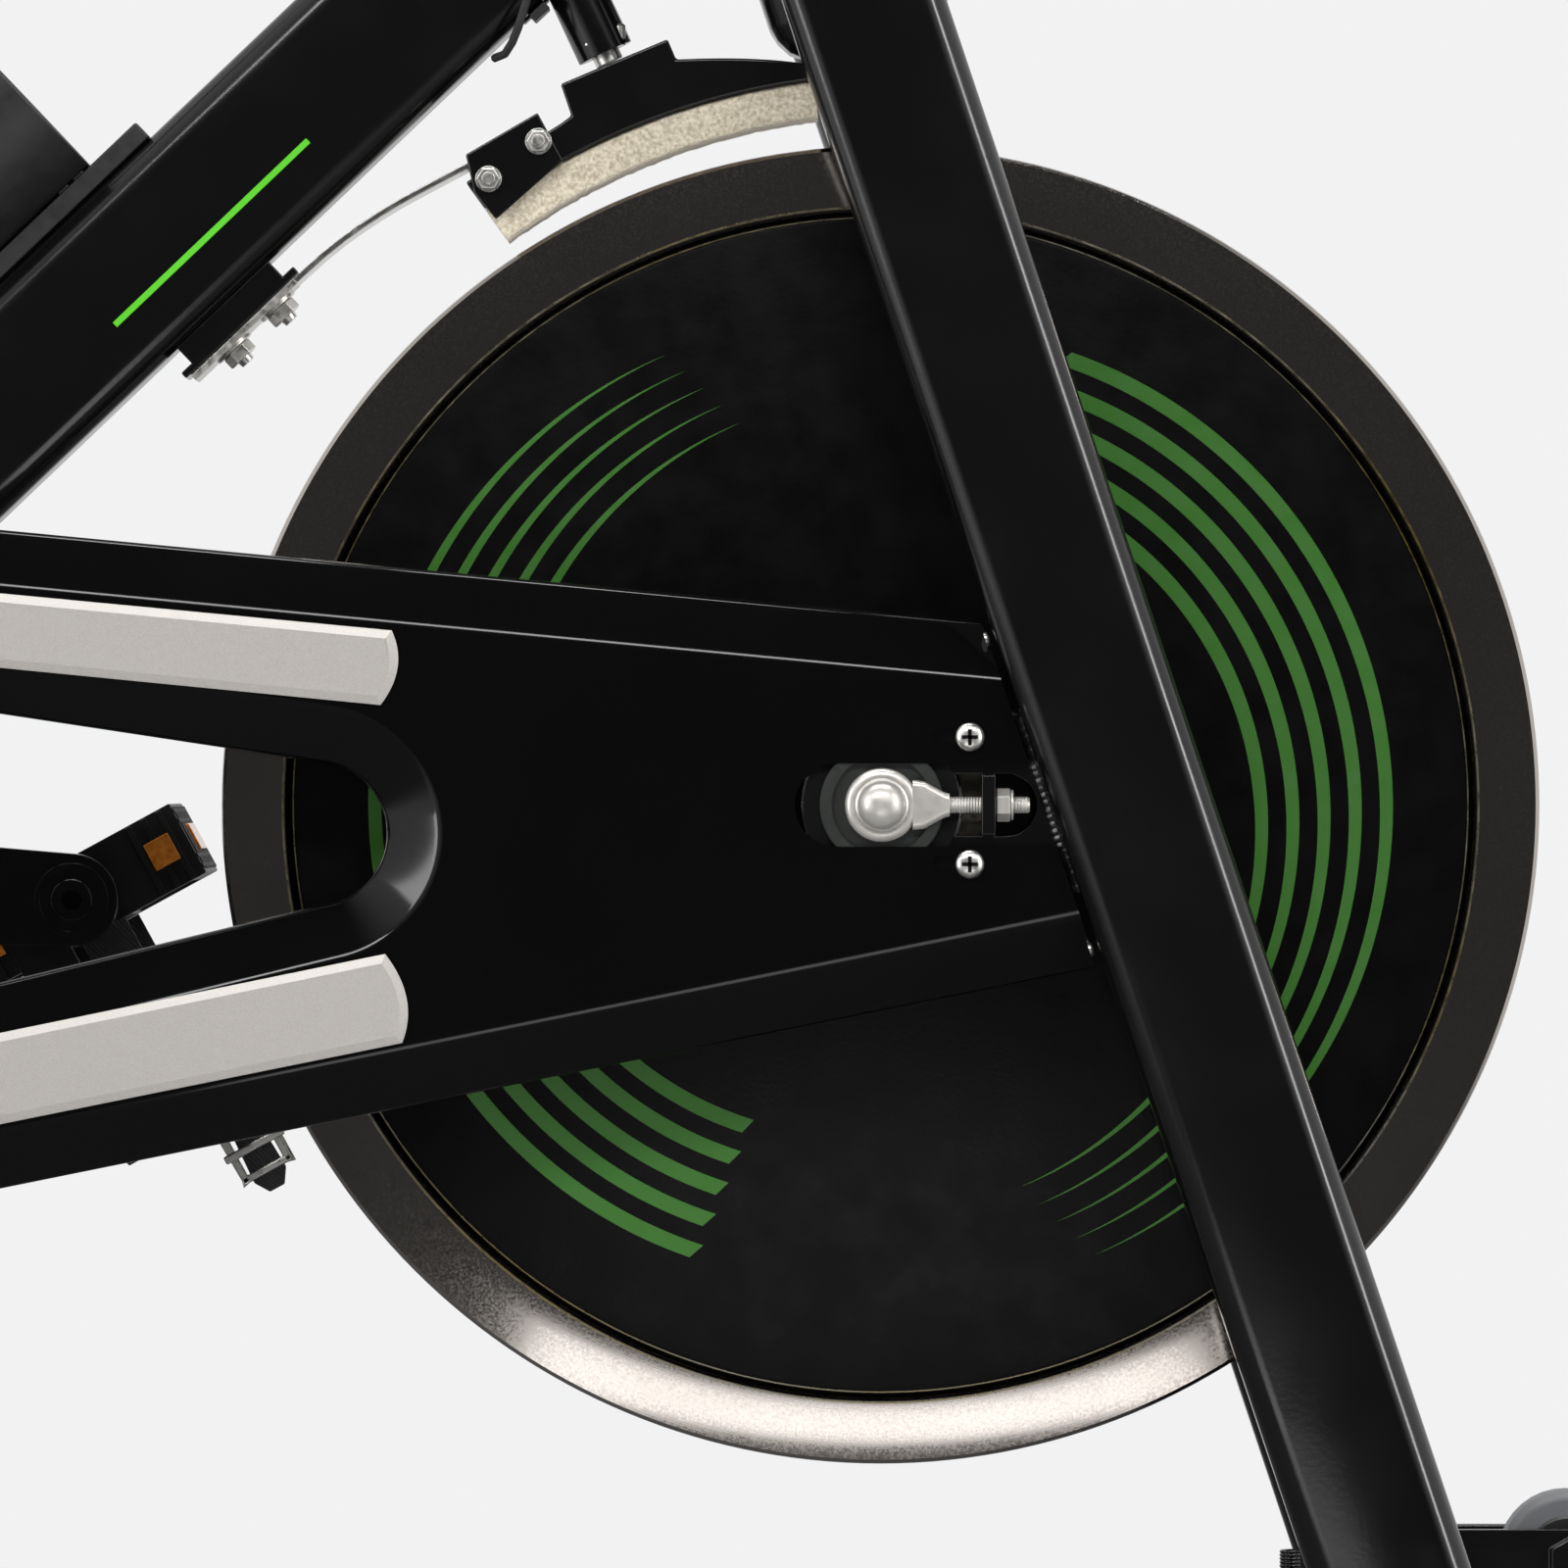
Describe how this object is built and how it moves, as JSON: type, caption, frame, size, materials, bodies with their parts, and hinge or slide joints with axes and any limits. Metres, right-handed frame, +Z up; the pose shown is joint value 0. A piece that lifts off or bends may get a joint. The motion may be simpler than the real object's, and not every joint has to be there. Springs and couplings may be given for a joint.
{
  "type": "exercise bike",
  "caption": "Indoor cycling exercise bike with a welded steel frame, weighted front flywheel, wishbone chain guard, felt brake, sliding seat and handlebar, toe cages and levelling feet.",
  "frame": {"origin": "centre of the footprint's bounding box, at floor level under the levelling feet", "axes": "+X forward towards the handlebar and flywheel, +Y to the rider's left, +Z up"},
  "size_m": [1.0768, 0.512, 1.15],
  "materials": {
    "frame_paint": "gloss black powder coat",
    "flywheel_steel": "machined and clear coated, dark",
    "steel": "bright zinc plate",
    "chrome": "polished chrome plate",
    "guard_plastic": "gloss black",
    "silver_trim": "silver, satin",
    "black_plastic": "fine grain",
    "rubber": "matte",
    "castor_tyre": "smooth grey",
    "felt": "pressed wool felt",
    "vinyl": "grained vinyl over foam"
  },
  "bodies": {
    "frame": {"main_tube": "frame_paint", "head_tube": "frame_paint", "seat_tube": "frame_paint", "bottom_bracket_shell": "frame_paint", "fork_leg_right": "frame_paint", "fork_leg_left": "frame_paint", "axle_bracket_right": "frame_paint", "axle_bracket_left": "frame_paint", "tensioner_right": "steel", "tensioner_left": "steel", "flywheel_axle": "steel", "drive_chain": "steel", "chain_guard_outer": "guard_plastic", "chain_guard_inner": "guard_plastic", "guard_trim_upper": "silver_trim", "guard_trim_lower": "silver_trim", "front_stabilizer": "frame_paint", "rear_stabilizer": "frame_paint", "castor_bracket_right": "frame_paint", "castor_bracket_left": "frame_paint", "seat_tube_sleeve": "black_plastic", "head_tube_sleeve": "black_plastic", "brake_guide_tube": "frame_paint", "bottle_cage": "black_plastic", "sensor_lead": "rubber"},
    "flywheel": {"flywheel": "flywheel_steel", "flywheel_hub": "steel", "hub_bearing_right": "steel", "hub_bearing_left": "steel", "drive_sprocket": "steel"},
    "cranks": {"crank_spindle": "steel", "chainring": "frame_paint", "crank_arm_right": "frame_paint", "crank_arm_left": "frame_paint"},
    "pedal_right": {"pedal_right": "black_plastic", "toe_cage_right": "black_plastic"},
    "pedal_left": {"pedal_left": "black_plastic", "toe_cage_left": "black_plastic"},
    "front_foot_right": {"front_foot_right": "rubber"},
    "front_foot_left": {"front_foot_left": "rubber"},
    "rear_foot_right": {"rear_foot_right": "rubber"},
    "rear_foot_left": {"rear_foot_left": "rubber"},
    "castor_right": {"castor_wheel_right": "castor_tyre"},
    "castor_left": {"castor_wheel_left": "castor_tyre"},
    "seat_post": {"seat_post": "chrome"},
    "seat_pin": {"seat_post_knob": "black_plastic"},
    "saddle": {"saddle_slide_bar": "chrome", "saddle_base": "black_plastic", "saddle_cushion": "vinyl"},
    "saddle_pin": {"saddle_slide_knob": "black_plastic"},
    "handlebar": {"handlebar_post": "chrome", "handlebar_tube": "rubber", "console": "black_plastic"},
    "handlebar_pin": {"handlebar_post_knob": "black_plastic"},
    "console_button": {"console_button": "black_plastic"},
    "brake_rod": {"brake_rod": "steel"},
    "brake_knob": {"brake_knob": "black_plastic"},
    "brake_shoe": {"brake_shoe": "frame_paint", "brake_pad": "felt", "leaf_spring": "steel"}
  },
  "joints": [
    {"name": "flywheel_spin", "type": "hinge", "parent": "frame", "child": "flywheel", "pos_m": [0.26216, 0, 0.356], "axis": [0, 1, 0], "continuous": true},
    {"name": "crank_spin", "type": "hinge", "parent": "frame", "child": "cranks", "pos_m": [-0.18944, 0, 0.3304], "axis": [0, 1, 0], "continuous": true},
    {"name": "pedal_right_spin", "type": "hinge", "parent": "cranks", "child": "pedal_right", "pos_m": [-0.35423, -0.139, 0.33875], "axis": [0, 1, 0], "continuous": true},
    {"name": "pedal_left_spin", "type": "hinge", "parent": "cranks", "child": "pedal_left", "pos_m": [-0.02465, 0.139, 0.32205], "axis": [0, 1, 0], "continuous": true},
    {"name": "front_foot_right_turn", "type": "hinge", "parent": "frame", "child": "front_foot_right", "pos_m": [0.43816, -0.215, 0], "axis": [0, 0, 1], "continuous": true},
    {"name": "front_foot_left_turn", "type": "hinge", "parent": "frame", "child": "front_foot_left", "pos_m": [0.43816, 0.215, 0], "axis": [0, 0, 1], "continuous": true},
    {"name": "rear_foot_right_turn", "type": "hinge", "parent": "frame", "child": "rear_foot_right", "pos_m": [-0.49077, -0.215, 0], "axis": [0, 0, 1], "continuous": true},
    {"name": "rear_foot_left_turn", "type": "hinge", "parent": "frame", "child": "rear_foot_left", "pos_m": [-0.49077, 0.215, 0], "axis": [0, 0, 1], "continuous": true},
    {"name": "castor_right_spin", "type": "hinge", "parent": "frame", "child": "castor_right", "pos_m": [0.51366, -0.192, 0.0816], "axis": [0, 1, 0], "continuous": true},
    {"name": "castor_left_spin", "type": "hinge", "parent": "frame", "child": "castor_left", "pos_m": [0.51366, 0.192, 0.0816], "axis": [0, 1, 0], "continuous": true},
    {"name": "seat_height", "type": "slide", "parent": "frame", "child": "seat_post", "axis": [-0.2924, 0, 0.9563], "range_m": [-0.1, 0.09]},
    {"name": "seat_pin_pull", "type": "slide", "parent": "frame", "child": "seat_pin", "axis": [-0.9563, 0, -0.2924], "range_m": [0, 0.01], "stiffness_N_per_m": 600, "springref_m": -0.006},
    {"name": "saddle_slide", "type": "slide", "parent": "seat_post", "child": "saddle", "axis": [1, 0, 0], "range_m": [-0.04, 0.03]},
    {"name": "saddle_pin_pull", "type": "slide", "parent": "seat_post", "child": "saddle_pin", "axis": [0, 0, -1], "range_m": [0, 0.008], "stiffness_N_per_m": 600, "springref_m": -0.006},
    {"name": "handlebar_height", "type": "slide", "parent": "frame", "child": "handlebar", "axis": [-0.3173, 0, 0.9483], "range_m": [-0.05, 0.1]},
    {"name": "handlebar_pin_pull", "type": "slide", "parent": "frame", "child": "handlebar_pin", "axis": [0.9483, 0, 0.3173], "range_m": [0, 0.01], "stiffness_N_per_m": 600, "springref_m": -0.006},
    {"name": "console_press", "type": "slide", "parent": "handlebar", "child": "console_button", "axis": [0, 0, -1], "range_m": [0, 0.002], "stiffness_N_per_m": 400, "springref_m": -0.001},
    {"name": "brake_push", "type": "slide", "parent": "frame", "child": "brake_rod", "axis": [0.4226, 0, -0.9063], "range_m": [0, 0.00704], "stiffness_N_per_m": 6000, "springref_m": -0.003},
    {"name": "brake_knob_turn", "type": "hinge", "parent": "brake_rod", "child": "brake_knob", "pos_m": [0.16606, 0, 0.6187], "axis": [-0.4226, 0, 0.9063], "continuous": true},
    {"name": "brake_shoe_press", "type": "hinge", "parent": "frame", "child": "brake_shoe", "pos_m": [0.03016, 0, 0.5125], "axis": [0, 1, 0], "range_deg": [0, 2.42]}
  ],
  "couplings": [
    {"joint": "crank_spin", "follows": "flywheel_spin", "ratio": 0.30769},
    {"joint": "brake_shoe_press", "follows": "brake_push", "rad_per_m": 5.95}
  ]
}
